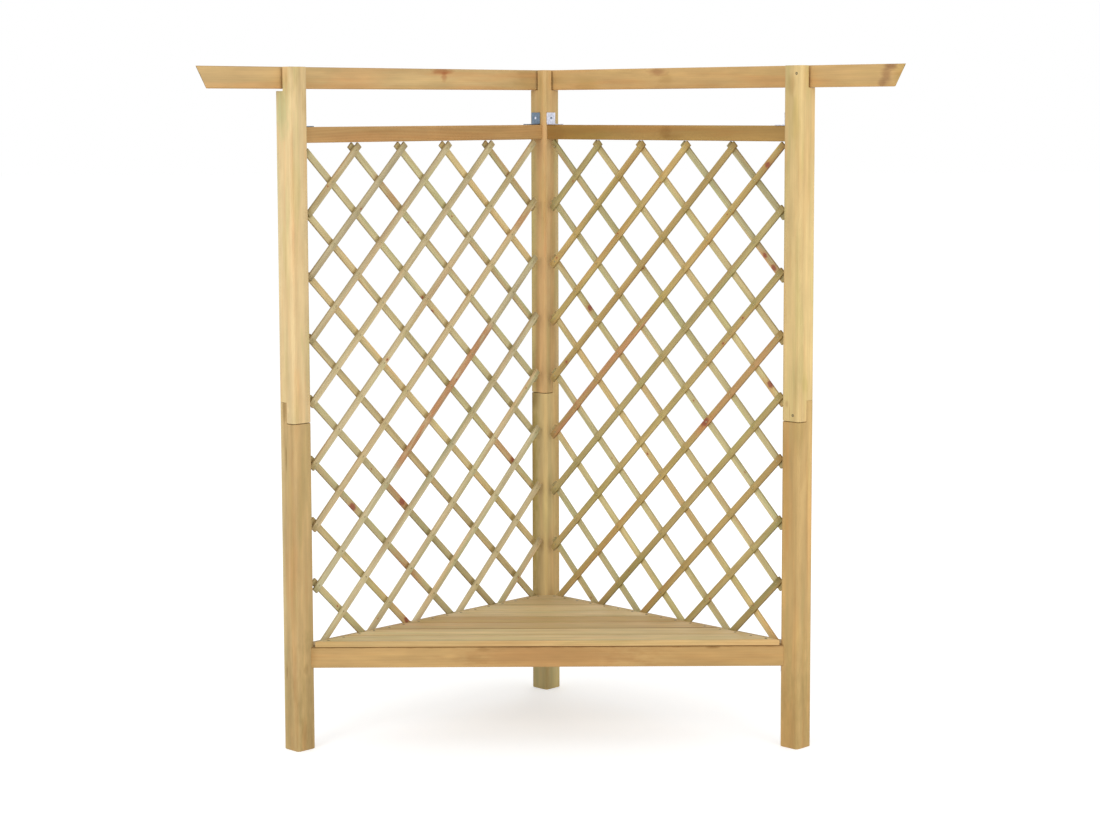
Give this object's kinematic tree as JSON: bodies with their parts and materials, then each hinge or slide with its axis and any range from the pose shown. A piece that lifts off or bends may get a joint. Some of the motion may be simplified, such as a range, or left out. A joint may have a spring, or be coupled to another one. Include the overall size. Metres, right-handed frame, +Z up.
{
  "type": "arbour seat",
  "caption": "Corner arbour seat in softwood: lapped posts under angled top beams, riveted lath trellis panels and a slatted triangular bench behind a front apron.",
  "frame": {"origin": "on the ground, in the middle of the box that holds the arbour", "axes": "+Z up; -Y points out of the open side, where the sitter faces; +X is to the sitter's left, which is the right of a viewer in front"},
  "size_m": [1.9396, 1.0178, 1.97],
  "materials": {
    "upper_post": "planed softwood, pressure treated, pale with a green tinge",
    "lower_post": "planed softwood, pressure treated, browner",
    "beam": "planed softwood with reddish knots",
    "rail": "planed softwood, darker",
    "apron": "planed softwood, orange tan",
    "slat": "planed softwood boards",
    "lath": "sawn softwood laths, olive tan",
    "zinc": "zinc-plated steel"
  },
  "bodies": {
    "root": {"post_left_lower": "lower_post", "post_left_upper": "upper_post", "post_right_lower": "lower_post", "post_right_upper": "upper_post", "post_rear_lower": "lower_post", "post_rear_upper": "upper_post", "top_beam_left": "beam", "top_beam_right": "beam", "upper_rail_left": "rail", "upper_rail_right": "rail", "lower_rail_left": "rail", "lower_rail_right": "rail", "seat_bearer_left": "rail", "seat_bearer_right": "rail", "seat_apron": "apron", "seat_slat_1": "slat", "seat_slat_2": "slat", "seat_slat_3": "slat", "seat_slat_4": "slat", "seat_slat_5": "slat", "seat_slat_6": "slat", "seat_slat_7": "slat", "seat_slat_8": "slat", "bracket_upper_left_rear": "zinc", "bracket_upper_left_front": "zinc", "bracket_upper_right_rear": "zinc", "bracket_upper_right_front": "zinc", "bracket_lower_left_rear": "zinc", "bracket_lower_left_front": "zinc", "bracket_lower_right_rear": "zinc", "bracket_lower_right_front": "zinc", "lath_pair_left_01": "lath", "lath_pair_left_02": "lath", "lath_pair_left_03": "lath", "lath_pair_left_04": "lath", "lath_pair_left_05": "lath", "lath_pair_left_06": "lath", "lath_pair_left_07": "lath", "lath_pair_left_08": "lath", "lath_pair_left_09": "lath", "lath_pair_left_10": "lath", "lath_pair_left_11": "lath", "lath_pair_left_12": "lath", "lath_pair_right_01": "lath", "lath_pair_right_02": "lath", "lath_pair_right_03": "lath", "lath_pair_right_04": "lath", "lath_pair_right_05": "lath", "lath_pair_right_06": "lath", "lath_pair_right_07": "lath", "lath_pair_right_08": "lath", "lath_pair_right_09": "lath", "lath_pair_right_10": "lath", "lath_pair_right_11": "lath", "lath_pair_right_12": "lath"}
  },
  "joints": []
}
